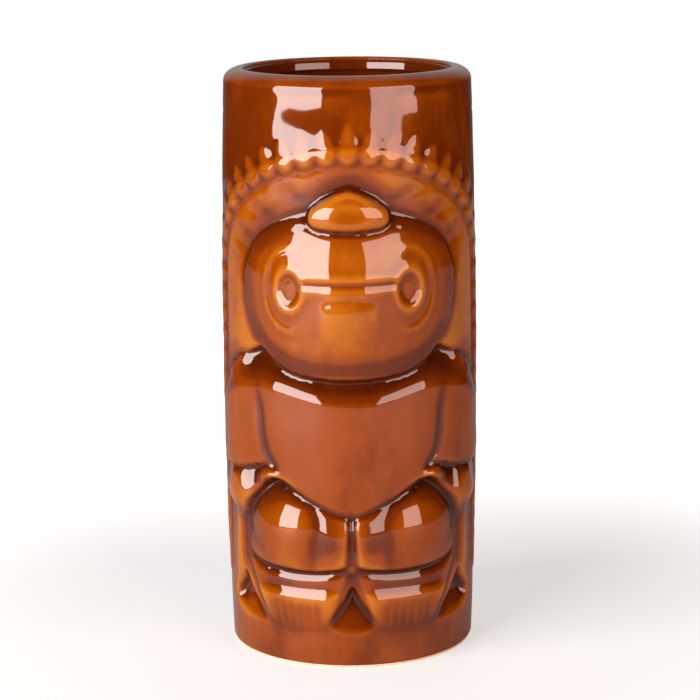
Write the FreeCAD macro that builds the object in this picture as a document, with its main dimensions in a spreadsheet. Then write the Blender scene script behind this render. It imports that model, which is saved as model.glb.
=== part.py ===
"""Tall slip-cast tiki mug with a squatting figure in relief, as a parametric FreeCAD document.

The mug is a barrel-sided cylinder standing on an unglazed foot ring.  The figure faces -Y and
+Z is up; the origin is the middle of the foot ring's flat face.  Left and right are as seen by
someone looking at the face.  The figure and its border are separate clay forms luted face to
face on the cast shell, so every form is cut to the shell and to the forms it was laid against.
"""
import FreeCAD, Part
import math
import os

import Sketcher
from FreeCAD import Matrix, Placement, Rotation, Vector

# Every driving dimension: alias, value in millimetres (or degrees, or a count), meaning.
DIMENSIONS = [
    ("mug_height", 174.0, "foot ring to the top of the rim"),
    ("end_radius", 36.5, "outside radius at the foot and at the rim"),
    ("belly_radius", 37.9, "outside radius of the belly"),
    ("belly_bottom", 58.0, "height at which the belly reaches its full radius"),
    ("belly_top", 116.0, "height at which the side begins to draw in to the rim"),
    ("wall", 5.5, "thickness of the cast clay wall"),
    ("floor_top", 7.5, "height of the clay floor inside"),
    ("foot_recess", 1.5, "depth of the hollow under the floor"),
    ("foot_inner_radius", 29.0, "inside radius of the foot ring"),
    ("lip_round", 2.4, "rounding on both edges of the rim"),
    ("foot_round", 2.0, "rounding on the outer edge of the foot"),
    ("floor_round", 7.0, "rounding where the wall meets the floor inside"),
    ("glaze", 0.4, "thickness of the glaze inside"),
    ("panel_depth", 1.2, "how far the panel behind the figure is sunk"),
    ("panel_half_arc", 49.0, "half the panel's width, along the wall"),
    ("panel_rise", 35.5, "rise of the panel's arch above its springing"),
    ("panel_foot", 12.0, "height of the panel's lower edge"),
    ("hood_half_arc", 46.5, "half the hood's width, along the wall"),
    ("hood_rise", 32.0, "rise of the hood's arch above its springing"),
    ("hood_proud", 0.2, "how far the hood stands out from the barrel side"),
    ("hood_foot", 104.0, "height of the hood's lower edge"),
    ("arch_spring", 112.0, "height at which the border's arch springs"),
    ("border_half_arc", 52.5, "half the border's width, along the wall"),
    ("border_rise", 39.0, "rise of the border's arch above its springing"),
    ("border_foot", 20.0, "height of the lowest bead"),
    ("bead_pitch", 5.8, "spacing of the beads along the border"),
    ("bead_ball", 3.2, "radius of the ball that a bead is the cap of"),
    ("bead_sink", 2.1, "how far the middle of that ball lies inside the wall"),
    ("leaf_offset", 5.9, "border line to the middle of a leaf"),
    ("leaf_half_length", 3.3, "half a leaf's length, away from the border"),
    ("leaf_half_width", 2.4, "half a leaf's width at its root"),
    ("leaf_half_tip", 0.5, "half a leaf's width at its tip"),
    ("leaf_height", 0.9, "how far a leaf stands out at its root"),
    ("leaf_tip_height", 0.5, "how far a leaf stands out at its tip"),
    ("head_mid", 113.5, "height of the middle of the head"),
    ("head_half_height", 60.0, "vertical half axis of the head's ellipsoid"),
    ("head_half_width", 32.5, "sideways half axis of the head's ellipsoid"),
    ("head_half_depth", 30.0, "fore and aft half axis of the head's ellipsoid"),
    ("head_forward", 10.0, "axis of the mug to the middle of the head's ellipsoid"),
    ("ornament_mid", 135.3, "height of the middle of the forehead ornament"),
    ("ornament_forward", 34.0, "distance of its ellipsoid's middle from the axis"),
    ("ornament_half_height", 6.8, "vertical half axis of its ellipsoid"),
    ("ornament_half_width", 11.9, "sideways half axis of its ellipsoid"),
    ("ornament_half_depth", 6.4, "fore and aft half axis of its ellipsoid"),
    ("eye_angle", 25.8, "eye to the middle of the face, in degrees round the axis"),
    ("eye_height", 112.3, "height of the middle of an eye"),
    ("eye_forward", 39.3, "axis of the mug to the middle of an eye's ring"),
    ("eye_ring", 3.9, "radius of the ring's middle line"),
    ("eye_ring_thick", 0.9, "radius of the ring's section"),
    ("bar_height", 114.5, "height of the bar that joins the eyes"),
    ("bar_curve", 30.2, "radius of the bar's middle line"),
    ("bar_thick", 1.4, "radius of the bar's section"),
    ("bar_half_angle", 26.0, "half the angle that the bar spans, in degrees"),
    ("torso_top", 91.0, "height of the torso's upper edge, behind the head"),
    ("torso_top_half", 26.4, "half the torso's width at its upper edge"),
    ("waist", 61.0, "height at which the torso begins to narrow"),
    ("waist_half", 23.6, "half the torso's width there"),
    ("torso_point", 47.0, "height of the point that the torso ends in"),
    ("torso_proud", 0.7, "how far the torso stands out from the barrel side"),
    ("shoulder_inner", 94.0, "height of the shoulder beside the head"),
    ("shoulder_outer", 84.0, "height of the shoulder at the arm's outer edge"),
    ("arm_outer", 35.9, "sideways reach of the arm's outer edge"),
    ("elbow", 56.0, "height of the elbow"),
    ("arm_proud", 1.4, "how far the arm stands out from the barrel side"),
    ("hand_angle", 50.0, "middle of a hand, in degrees round the axis"),
    ("hand_mid", 55.3, "height of the middle of a hand"),
    ("hand_tilt", 10.0, "rise of a hand towards the knee, in degrees"),
    ("hand_forward", 33.0, "axis of the mug to the middle of a hand's ellipsoid"),
    ("hand_half_height", 5.4, "vertical half axis of a hand's ellipsoid"),
    ("hand_half_width", 12.4, "sideways half axis of a hand's ellipsoid"),
    ("hand_half_depth", 7.0, "fore and aft half axis of a hand's ellipsoid"),
    ("knee_angle", 26.6, "middle of a knee, in degrees round the axis"),
    ("knee_mid", 42.5, "height of the middle of a knee"),
    ("knee_forward", 28.0, "axis of the mug to the middle of a knee's ellipsoid"),
    ("knee_half_height", 18.5, "vertical half axis of a knee's ellipsoid"),
    ("knee_half_width", 16.8, "sideways half axis of a knee's ellipsoid"),
    ("knee_half_depth", 12.2, "fore and aft half axis of a knee's ellipsoid"),
    ("ankle", 31.0, "height of a foot's upper edge"),
    ("ankle_outer", 29.2, "sideways reach of a foot's upper edge, outside"),
    ("ankle_inner", 1.2, "sideways reach of a foot's upper edge, inside"),
    ("toe", 13.5, "height of a foot's lower edge"),
    ("toe_outer", 24.6, "sideways reach of a foot's lower edge, outside"),
    ("toe_inner", 6.8, "sideways reach of a foot's lower edge, inside"),
    ("foot_proud", 1.8, "how far a foot stands out from the barrel side"),
    ("toe_count", 5.0, "toes on a foot"),
    ("toe_groove", 0.6, "radius of the grooves between toes"),
    ("toe_groove_top", 19.0, "height of the upper end of the grooves"),
    ("pit_depth", 2.6, "depth of the dark pits beside the feet"),
    ("pit_top", 24.5, "height of the upper corner of the pits"),
    ("pit_bottom", 10.5, "height of the lower corner of the pits"),
    ("mid_pit_half", 7.2, "half the width of the pit between the feet"),
    ("side_pit_inner", 25.6, "sideways reach of a side pit's lower corner"),
    ("side_pit_apex", 31.8, "sideways reach of a side pit's upper corner"),
    ("side_pit_outer", 35.3, "sideways reach of a side pit's outer corner"),
    ("side_pit_shoulder", 16.5, "height of a side pit's outer corner"),
    ("rail_inner", 33.7, "sideways reach of a rail's inner edge"),
    ("rail_outer", 34.9, "sideways reach of a rail's outer edge"),
    ("rail_foot", 25.0, "height of a rail's lower end"),
    ("rail_proud", 0.1, "how far a rail stands out from the barrel side"),
]
MARGIN = 2.0  # how far a cutting tool runs past what it cuts
SIDES = {"left": -1, "right": 1}
SIDE_CORNERS = [
    ("Dimensions.end_radius", "0"),
    ("Dimensions.belly_radius", "Dimensions.belly_bottom"),
    ("Dimensions.belly_radius", "Dimensions.belly_top"),
    ("Dimensions.end_radius", "Dimensions.mug_height"),
]


# ---------------------------------------------------------------- document and sheet

def make_sheet(doc):
    """The spreadsheet of driving dimensions: meaning in column A, value and alias in B."""
    sheet = doc.addObject("Spreadsheet::Sheet", "Dimensions")
    for row, (alias, value, meaning) in enumerate(DIMENSIONS, start=1):
        sheet.set(f"A{row}", meaning)
        sheet.set(f"B{row}", str(value))
        sheet.setAlias(f"B{row}", alias)
    doc.recompute()
    return sheet


DOC = FreeCAD.newDocument("TikiMug")
SHEET = make_sheet(DOC)


def size(alias):
    """A driving dimension, read from the sheet as a number."""
    return float(getattr(SHEET, alias))


def bind(thing, **expressions):
    """Binds properties of an object to expressions on the sheet."""
    for name, expression in expressions.items():
        thing.setExpression(name, expression)


def put(thing, x="0", y="0", z="0"):
    """Binds the place of an object to expressions on the sheet."""
    for axis, expression in zip("xyz", (x, y, z)):
        thing.setExpression(f"Placement.Base.{axis}", expression)


# ---------------------------------------------------------------- sketches and bodies

def new_sketch(body, role, name):
    """A sketch on one of the body's own origin planes."""
    sketch = body.newObject("Sketcher::SketchObject", name)
    plane = next(item for item in body.Origin.OriginFeatures if item.Role == role)
    sketch.AttachmentSupport = [(plane, "")]
    sketch.MapMode = "FlatFace"
    return sketch


def pin(sketch, kind, geometry, value, expression):
    """Fixes the first point of a line sideways or upwards, bound to the sheet."""
    index = sketch.addConstraint(Sketcher.Constraint(kind, -1, 1, geometry, 1, value))
    sketch.setExpression(f"Constraints[{index}]", expression)


def join_up(sketch, count):
    """Joins each of the first `count` lines or arcs of the sketch to the next, and closes the loop."""
    for index in range(count):
        sketch.addConstraint(
            Sketcher.Constraint("Coincident", index, 2, (index + 1) % count, 1))


def side_profile(offset=0.0):
    """Radius and height of each corner of the mug's side, from the foot up, as numbers."""
    return [(number(radius) + offset, number(height)) for radius, height in SIDE_CORNERS]


def side_radius(height, offset=0.0):
    """Radius of the side at a height, moved out by an offset."""
    corners = side_profile(offset)
    for (low_radius, low), (high_radius, high) in zip(corners, corners[1:]):
        if height <= high:
            break
    share = (height - low) / (high - low)
    return low_radius + (high_radius - low_radius) * min(max(share, 0.0), 1.0)


def revolve(body, sketch):
    """Revolves a sketch once round the vertical axis."""
    turned = body.newObject("PartDesign::Revolution", f"{body.Name}_turned")
    turned.Profile = sketch
    turned.ReferenceAxis = (sketch, ["V_Axis"])
    turned.Angle = 360
    sketch.Visibility = False
    return turned


def turned_body(name, corners):
    """A solid of revolution, from pairs of expressions for radius and height in order."""
    body = DOC.addObject("PartDesign::Body", name)
    sketch = new_sketch(body, "YZ_Plane", f"{name}_profile")
    draw_outline(sketch, corners)
    revolve(body, sketch)
    return body


def barrel(name, offset="0"):
    """A solid barrel, parallel to the mug's side and a little taller than the mug."""
    side = [(f"{radius} + ({offset})", height) for radius, height in SIDE_CORNERS]
    below = (side[0][0], f"-{MARGIN}")
    above = (side[-1][0], f"Dimensions.mug_height + {MARGIN}")
    return turned_body(name, [("0", below[1]), below, *side, above, ("0", above[1])])


def cut(name, base, *tools):
    """Base less the tools, one after another."""
    for index, tool in enumerate(tools):
        step = DOC.addObject("Part::Cut", name if index == len(tools) - 1 else f"{name}_{index}")
        step.Base, step.Tool = base, tool
        base = step
    return base


def common(name, first, second):
    """What two solids share."""
    shared = DOC.addObject("Part::MultiCommon", name)
    shared.Shapes = [first, second]
    return shared


def layer(name, low, high):
    """The layer of space round the mug between two barrels."""
    return cut(name, high, low)


def number(expression):
    """The value of a sum of signed terms, each a plain number or an alias on the sheet."""
    total = 0.0
    for term in expression.replace("(", "").replace(")", "").replace("--", "").split("+"):
        word = term.strip()
        sign = -1.0 if word.startswith("-") else 1.0
        word = word.lstrip("-")
        alias = word.startswith("Dimensions.")
        total += sign * (size(word[len("Dimensions."):]) if alias else float(word))
    return total


def draw_outline(sketch, corners, side=1):
    """Draws a closed outline of straight lines and pins each corner to the sheet.

    Corners are pairs of expressions, sideways reach and height, in order; side -1 mirrors them.
    """
    guess = [Vector(side * number(reach), number(height), 0) for reach, height in corners]
    ring = guess + guess[:1]
    sketch.addGeometry([Part.LineSegment(a, b) for a, b in zip(ring, ring[1:])])
    join_up(sketch, len(corners))
    for index, (reach, height) in enumerate(corners):
        if guess[index].x == 0.0:
            sketch.addConstraint(Sketcher.Constraint("PointOnObject", index, 1, -2))
        else:
            expression = reach if side > 0 else f"-({reach})"
            pin(sketch, "DistanceX", index, guess[index].x, expression)
        if guess[index].y == 0.0:
            sketch.addConstraint(Sketcher.Constraint("PointOnObject", index, 1, -1))
        else:
            pin(sketch, "DistanceY", index, guess[index].y, height)


def front_pad(name, corners, side=1):
    """A prism that runs forwards from the XZ plane."""
    body = DOC.addObject("PartDesign::Body", name)
    sketch = new_sketch(body, "XZ_Plane", f"{name}_outline")
    draw_outline(sketch, corners, side)
    return pad_forwards(body, sketch)


def pad_forwards(body, sketch):
    """Pads a sketch on the XZ plane towards -Y, past the front of everything."""
    pad = body.newObject("PartDesign::Pad", f"{body.Name}_pad")
    pad.Profile = sketch
    bind(pad, Length=f"Dimensions.belly_radius + {3 * MARGIN}")
    sketch.Visibility = False
    return body


def arch_pad(name, half_arc, rise, foot_alias):
    """A prism with an arched top, whose outline is half an ellipse wrapped on the mug's side."""
    body = DOC.addObject("PartDesign::Body", name)
    sketch = new_sketch(body, "XZ_Plane", f"{name}_outline")
    spring, low, radius = size("arch_spring"), size(foot_alias), size("belly_radius")
    points = []
    for step in range(13):
        turn = math.pi * step / 12
        along = half_arc * math.cos(turn)
        points.append(Vector(
            radius * math.sin(along / radius), spring + rise * math.sin(turn), 0))
    curve = Part.BSplineCurve()
    curve.interpolate(points)
    right, left = points[0], points[-1]
    sketch.addGeometry([
        curve,
        Part.LineSegment(left, Vector(left.x, low, 0)),
        Part.LineSegment(Vector(left.x, low, 0), Vector(right.x, low, 0)),
        Part.LineSegment(Vector(right.x, low, 0), right),
    ])
    sketch.addConstraint(Sketcher.Constraint("Block", 0))
    join_up(sketch, 4)
    for constraint in (("Vertical", 1), ("Horizontal", 2), ("Vertical", 3)):
        sketch.addConstraint(Sketcher.Constraint(*constraint))
    pin(sketch, "DistanceY", 2, low, f"Dimensions.{foot_alias}")
    return pad_forwards(body, sketch)


def half_axes(solid, forms):
    """Binds a whole ellipsoid's half axes: sideways, fore and aft, and vertical."""
    bind(solid, Radius2=forms[0], Radius3=forms[1], Radius1=forms[2],
         Angle1="-90", Angle2="90", Angle3="360")
    return solid


def ellipsoid(name, forms, forward="0", height="0", angle=0.0, tilt=0.0):
    """An ellipsoid in front of the mug, turned round the axis and tilted in its own plane."""
    solid = half_axes(DOC.addObject("Part::Ellipsoid", name), forms)
    spin = Rotation(Vector(0, 0, 1), angle)
    solid.Placement = Placement(Vector(), spin * Rotation(Vector(0, 1, 0), tilt))
    put(solid, f"({forward}) * sin({angle})", f"-({forward}) * cos({angle})", height)
    return solid


# ---------------------------------------------------------------- the shell

def shell_blank():
    """The cast shell before the figure is laid on: wall, floor and foot ring."""
    inside = [(f"{radius} + -Dimensions.wall", height) for radius, height in SIDE_CORNERS]
    inside[0] = (inside[0][0], "Dimensions.floor_top")
    body = turned_body("shell_blank", [
        ("Dimensions.foot_inner_radius", "0"),
        *SIDE_CORNERS,
        *reversed(inside),
        ("0", "Dimensions.floor_top"),
        ("0", "Dimensions.foot_recess"),
        ("Dimensions.foot_inner_radius", "Dimensions.foot_recess"),
    ])
    DOC.recompute()
    top, end, wall = size("mug_height"), size("end_radius"), size("wall")
    round_edges(body, "lip", "lip_round", [(end, top), (end - wall, top)])
    round_edges(body, "foot", "foot_round", [(end, 0)])
    round_edges(body, "floor", "floor_round", [(end - wall, size("floor_top"))])
    return body


def round_edges(body, name, alias, places):
    """Fillets the round edges of a turned body that lie at the given radii and heights."""
    last = body.Tip
    found = []
    for index, edge in enumerate(last.Shape.Edges, start=1):
        box = edge.BoundBox
        for radius, height in places:
            if box.ZLength < 0.01 and abs(box.ZMax - height) < 0.05 and abs(box.YMax - radius) < 0.15:
                found.append(f"Edge{index}")
    fillet = body.newObject("PartDesign::Fillet", f"{name}_rounding")
    fillet.Base = (last, found)
    bind(fillet, Radius=f"Dimensions.{alias}")
    DOC.recompute()
    if len(found) < len(places):
        raise ValueError(f"the {name} edge was not found")


def cast_shell(blank, ground, side):
    """The shell with the sunk panel and the three pits at the feet."""
    arch = arch_pad("panel_arch", size("panel_half_arc"), size("panel_rise"), "panel_foot")
    panel = common("panel", arch, layer("panel_layer", ground, side))
    pit_floor = barrel("pit_floor", "-Dimensions.pit_depth")
    pit_layer = layer("pit_layer", pit_floor, side)
    outlines = {"mid_pit": mid_pit_pad()}
    for name, hand in SIDES.items():
        outlines[f"{name}_pit"] = side_pit_pad(name, hand)
    pits = [common(f"{name}_space", pad, pit_layer) for name, pad in outlines.items()]
    return cut("cast_shell", blank, panel, *pits)


def mid_pit_pad():
    """The three-cornered pit between the feet."""
    return front_pad("mid_pit", [
        ("0", "Dimensions.pit_top"),
        ("-Dimensions.mid_pit_half", "Dimensions.toe"),
        ("0", "Dimensions.pit_bottom"),
        ("Dimensions.mid_pit_half", "Dimensions.toe"),
    ])


def side_pit_pad(name, hand):
    """The pit outside a foot, leaning along the foot's outer edge."""
    return front_pad(f"{name}_pit", [
        ("Dimensions.side_pit_apex", "Dimensions.pit_top"),
        ("Dimensions.side_pit_outer", "Dimensions.side_pit_shoulder"),
        ("Dimensions.side_pit_inner", "Dimensions.pit_bottom"),
    ], hand)


def inner_glaze(blank):
    """The glaze that lines the wall and the floor: a skin on the shell's inner faces."""
    top = DOC.addObject("Part::Cylinder", "glaze_top")
    bind(top, Radius="Dimensions.belly_radius + -Dimensions.wall",
         Height="Dimensions.mug_height - Dimensions.lip_round - Dimensions.floor_top")
    put(top, z="Dimensions.floor_top")
    lining = common("lining", barrel("lining_outer", "-Dimensions.wall"), top)
    well = cut("well", lining, blank)
    hollow = turned_body("glazed_hollow", glazed_hollow_corners())
    DOC.recompute()
    radius = size("end_radius") - size("wall") - size("glaze")
    round_edges(hollow, "glazed_floor", "floor_round",
                [(radius, size("floor_top") + size("glaze"))])
    return cut("inner_glaze", well, hollow)


def glazed_hollow_corners():
    """Corners of the space inside the glaze, from the middle of the floor outwards and up."""
    inset = "-Dimensions.wall + -Dimensions.glaze"
    side = [(f"{radius} + {inset}", height) for radius, height in SIDE_CORNERS]
    floor = "Dimensions.floor_top + Dimensions.glaze"
    side[0] = (side[0][0], floor)
    return [("0", floor), *side, ("0", "Dimensions.mug_height")]


# ---------------------------------------------------------------- the border

def border_place(distance):
    """Place and outward direction of the border line, at a distance along it from the top.

    The line is half an ellipse, unrolled on the wall, with straight legs below its springing.
    Returns arc length round the mug, height, and the outward direction in that plane.
    """
    half, rise, spring = size("border_half_arc"), size("border_rise"), size("arch_spring")
    side = math.copysign(1.0, distance)
    left, turn, step = abs(distance), 0.0, 0.002
    while left > 0 and turn < math.pi / 2:
        left -= step * math.hypot(half * math.cos(turn), rise * math.sin(turn))
        turn += step
    if left > 0:
        return side * half, spring - left, side, 0.0
    out = Vector(rise * math.sin(turn), half * math.cos(turn), 0).normalize()
    return side * half * math.sin(turn), spring + rise * math.cos(turn), side * out.x, out.y


def wall_placement(along, height, out_along, out_up, sink=0.0):
    """Placement on the wall: local X follows the border, Y leads away from it, Z leaves the wall."""
    angle = along / size("belly_radius")
    normal = Vector(math.sin(angle), -math.cos(angle), 0)
    sideways = Vector(math.cos(angle), math.sin(angle), 0)
    outward = sideways * out_along + Vector(0, 0, 1) * out_up
    follow = outward.cross(normal)
    place = normal * (side_radius(height) - sink) + Vector(0, 0, height)
    return Placement(Matrix(
        follow.x, outward.x, normal.x, place.x,
        follow.y, outward.y, normal.y, place.y,
        follow.z, outward.z, normal.z, place.z,
        0, 0, 0, 1))


def border_distances():
    """Distance along the border of every bead, symmetrical about the one at the top."""
    pitch = size("bead_pitch")
    found, count = [0.0], 1
    while border_place(count * pitch)[1] >= size("border_foot"):
        found += [count * pitch, -count * pitch]
        count += 1
    return sorted(found)


def border_row(name, make, offset, sink, side):
    """One clay form for every bead of the border, moved away from its line, cut to the wall."""
    row = []
    for index, distance in enumerate(border_distances()):
        along, height, out_along, out_up = border_place(distance)
        form = make(f"{name}_form_{index:02d}")
        form.Placement = wall_placement(
            along + offset * out_along, height + offset * out_up, out_along, out_up, sink)
        row.append(cut(f"{name}_{index:02d}", form, side))
    together = DOC.addObject("Part::Compound", name)
    together.Links = row
    return together


def bead_form(name):
    """The ball that a bead is the cap of."""
    ball = DOC.addObject("Part::Sphere", name)
    bind(ball, Radius="Dimensions.bead_ball")
    return ball


def leaf_form(name):
    """A leaf: a wedge that narrows and thins towards its tip, its root and back let into the wall."""
    leaf = DOC.addObject("Part::Wedge", name)
    bind(leaf,
         Xmin="-Dimensions.leaf_half_width", Xmax="Dimensions.leaf_half_width",
         X2min="-Dimensions.leaf_half_tip", X2max="Dimensions.leaf_half_tip",
         Ymin="-Dimensions.leaf_half_length", Ymax="Dimensions.leaf_half_length",
         Zmin="-Dimensions.leaf_height", Z2min="-Dimensions.leaf_height",
         Zmax="Dimensions.leaf_height", Z2max="Dimensions.leaf_tip_height")
    return leaf


def bead_border(side):
    """The string of beads round the panel."""
    return border_row("bead_border", bead_form, 0.0, size("bead_sink"), side)


def leaf_fringe(side):
    """The leaves that stand out from the beads, one to each."""
    return border_row("leaf_fringe", leaf_form, size("leaf_offset"), 0.0, side)


# ---------------------------------------------------------------- the figure

def head(ground):
    """The domed head."""
    dome = ellipsoid("head_dome", ("Dimensions.head_half_width", "Dimensions.head_half_depth",
                                   "Dimensions.head_half_height"),
                     "Dimensions.head_forward", "Dimensions.head_mid")
    return cut("head", dome, ground)


def hood(ground, head_solid):
    """The smooth band over the head, inside the border's arch."""
    front = barrel("hood_front", "Dimensions.hood_proud")
    arch = arch_pad("hood_arch", size("hood_half_arc"), size("hood_rise"), "hood_foot")
    return cut("hood", common("hood_slab", arch, layer("hood_layer", ground, front)), head_solid)


def forehead_ornament(neighbours):
    """The pebble-shaped ornament over the forehead."""
    pebble = ellipsoid("ornament_pebble",
                       ("Dimensions.ornament_half_width", "Dimensions.ornament_half_depth",
                        "Dimensions.ornament_half_height"),
                       "Dimensions.ornament_forward", "Dimensions.ornament_mid")
    return cut("forehead_ornament", pebble, *neighbours)


def eye_ring(name, hand, head_solid, ground):
    """The ring round an eye."""
    ring = DOC.addObject("Part::Torus", f"{name}_eye_torus")
    bind(ring, Radius1="Dimensions.eye_ring", Radius2="Dimensions.eye_ring_thick")
    angle = hand * size("eye_angle")
    ring.Placement = Placement(
        Vector(), Rotation(Vector(0, 0, 1), angle) * Rotation(Vector(1, 0, 0), 90))
    put(ring, f"Dimensions.eye_forward * sin({angle})", f"-Dimensions.eye_forward * cos({angle})",
        "Dimensions.eye_height")
    return cut(f"{name}_eye_ring", ring, head_solid, ground)


def face_bar(head_solid, rings):
    """The bar across the face that joins the two eye rings."""
    hoop = DOC.addObject("Part::Torus", "face_bar_hoop")
    bind(hoop, Radius1="Dimensions.bar_curve", Radius2="Dimensions.bar_thick",
         Angle3="2 * Dimensions.bar_half_angle")
    start = -90 - size("bar_half_angle")
    hoop.Placement = Placement(Vector(), Rotation(Vector(0, 0, 1), start))
    put(hoop, y="-Dimensions.head_forward", z="Dimensions.bar_height")
    return cut("face_bar", hoop, head_solid, *rings)


def torso(ground, neighbours):
    """The torso, which narrows to a point between the knees."""
    front = barrel("torso_front", "Dimensions.torso_proud")
    outline = front_pad("torso_outline", [
        ("Dimensions.torso_top_half", "Dimensions.torso_top"),
        ("-Dimensions.torso_top_half", "Dimensions.torso_top"),
        ("-Dimensions.waist_half", "Dimensions.waist"),
        ("0", "Dimensions.torso_point"),
        ("Dimensions.waist_half", "Dimensions.waist"),
    ])
    slab = common("torso_slab", outline, layer("torso_layer", ground, front))
    return cut("torso", slab, *neighbours)


def arm(name, hand, arm_layer, neighbours):
    """An upper arm with its shoulder."""
    outline = front_pad(f"{name}_arm_outline", [
        ("Dimensions.torso_top_half", "Dimensions.shoulder_inner"),
        ("Dimensions.torso_top_half", "Dimensions.torso_top"),
        ("Dimensions.waist_half", "Dimensions.waist"),
        ("Dimensions.waist_half", "Dimensions.elbow"),
        ("Dimensions.arm_outer", "Dimensions.elbow"),
        ("Dimensions.arm_outer", "Dimensions.shoulder_outer"),
    ], hand)
    return cut(f"{name}_arm", common(f"{name}_arm_slab", outline, arm_layer), *neighbours)


def hand_form(name, hand, ground):
    """A forearm and hand resting on the knee."""
    fist = ellipsoid(f"{name}_fist", ("Dimensions.hand_half_width", "Dimensions.hand_half_depth",
                                      "Dimensions.hand_half_height"),
                     "Dimensions.hand_forward", "Dimensions.hand_mid",
                     hand * size("hand_angle"), hand * size("hand_tilt"))
    return cut(f"{name}_hand", fist, ground)


def knee(name, hand, ground, half_space, neighbours):
    """A drawn-up knee."""
    ball = ellipsoid(f"{name}_knee_ball", ("Dimensions.knee_half_width", "Dimensions.knee_half_depth",
                                           "Dimensions.knee_half_height"),
                     "Dimensions.knee_forward", "Dimensions.knee_mid", hand * size("knee_angle"))
    return cut(f"{name}_knee", common(f"{name}_knee_half", ball, half_space), ground, *neighbours)


def half_space(name, hand):
    """The space on one side of the middle plane, to keep the knees apart."""
    block = DOC.addObject("Part::Box", f"{name}_half")
    bind(block, Length="2 * Dimensions.belly_radius", Width="2 * Dimensions.belly_radius",
         Height="Dimensions.mug_height")
    put(block, "0" if hand > 0 else "-2 * Dimensions.belly_radius", "-2 * Dimensions.belly_radius")
    return block


def foot(name, hand, foot_layer, knee_solid):
    """A foot, with grooves between its toes."""
    outline = front_pad(f"{name}_foot_outline", [
        ("Dimensions.ankle_outer", "Dimensions.ankle"),
        ("Dimensions.ankle_inner", "Dimensions.ankle"),
        ("Dimensions.toe_inner", "Dimensions.toe"),
        ("Dimensions.toe_outer", "Dimensions.toe"),
    ], hand)
    slab = common(f"{name}_foot_slab", outline, foot_layer)
    return cut(f"{name}_foot", slab, knee_solid, toe_grooves(name, hand))


def toe_grooves(name, hand):
    """Upright rods that part the toes."""
    count = int(size("toe_count"))
    inner, outer = size("toe_inner"), size("toe_outer")
    rods = []
    for index in range(1, count):
        reach = inner + (outer - inner) * index / count
        radius = side_radius(size("toe"), size("foot_proud"))
        rod = DOC.addObject("Part::Cylinder", f"{name}_toe_groove_{index}")
        bind(rod, Radius="Dimensions.toe_groove",
             Height=f"Dimensions.toe_groove_top - Dimensions.toe + {MARGIN}")
        put(rod, str(hand * reach), str(-math.sqrt(radius ** 2 - reach ** 2)),
            f"Dimensions.toe - {MARGIN}")
        rods.append(rod)
    together = DOC.addObject("Part::Compound", f"{name}_toe_grooves")
    together.Links = rods
    return together


def rail(name, hand, ground):
    """The upright rib between an arm and the border."""
    front = barrel(f"{name}_rail_front", "Dimensions.rail_proud")
    outline = front_pad(f"{name}_rail_outline", [
        ("Dimensions.rail_inner", "Dimensions.rail_foot"),
        ("Dimensions.rail_outer", "Dimensions.rail_foot"),
        ("Dimensions.rail_outer", "Dimensions.elbow"),
        ("Dimensions.rail_inner", "Dimensions.elbow"),
    ], hand)
    return common(f"{name}_rail_slab", outline, layer(f"{name}_rail_layer", ground, front))


# ---------------------------------------------------------------- the whole mug

def build():
    """Builds every sub-part and returns them by name."""
    side = barrel("side_barrel")
    ground = barrel("ground_barrel", "-Dimensions.panel_depth")
    blank = shell_blank()
    parts = {"cast_shell": cast_shell(blank, ground, side), "inner_glaze": inner_glaze(blank)}
    parts["bead_border"] = bead_border(side)
    parts["leaf_fringe"] = leaf_fringe(side)
    parts["head"] = head(ground)
    parts["hood"] = hood(ground, parts["head"])
    parts["forehead_ornament"] = forehead_ornament([parts["head"], parts["hood"], ground])
    for name, hand in SIDES.items():
        parts[f"{name}_eye_ring"] = eye_ring(name, hand, parts["head"], ground)
    parts["face_bar"] = face_bar(parts["head"], [parts[f"{name}_eye_ring"] for name in SIDES])
    hands = {name: hand_form(name, hand, ground) for name, hand in SIDES.items()}
    parts["torso"] = torso(ground, [parts["head"], *hands.values()])
    arm_layer = layer("arm_layer", ground, barrel("arm_front", "Dimensions.arm_proud"))
    foot_layer = layer("foot_layer", ground, barrel("foot_front", "Dimensions.foot_proud"))
    for name, hand in SIDES.items():
        fist = hands[name]
        parts[f"{name}_hand"] = fist
        parts[f"{name}_arm"] = arm(name, hand, arm_layer, [parts["head"], fist])
        upper = knee(name, hand, ground, half_space(name, hand), [parts["torso"], fist])
        parts[f"{name}_knee"] = upper
        parts[f"{name}_foot"] = foot(name, hand, foot_layer, upper)
        parts[f"{name}_rail"] = cut(f"{name}_rail", rail(name, hand, ground), fist)
    DOC.recompute()
    for name, solid in parts.items():
        solid.Label = name
    return parts


def check(parts):
    """Stops if any object of the document failed, or if a sub-part is empty or not valid."""
    failed = [item.Name for item in DOC.Objects if {"Invalid", "Error"} & set(item.State)]
    if failed:
        raise ValueError(f"these objects failed: {failed}")
    for name, solid in parts.items():
        shape = solid.Shape
        if shape.isNull() or not shape.isValid() or not shape.Solids:
            raise ValueError(f"{name} is empty or not valid")
        print(f"{name:18s} solids {len(shape.Solids):3d}  volume {shape.Volume:10.2f} mm3")


def export(parts):
    """Writes each sub-part to its own STEP file."""
    os.makedirs("parts", exist_ok=True)
    for name, solid in parts.items():
        solid.Shape.exportStep(os.path.join("parts", f"{name}.step"))


PARTS = build()
check(PARTS)
export(PARTS)
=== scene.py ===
import math

import bpy
import numpy as np
from mathutils import Matrix, Vector


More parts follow.
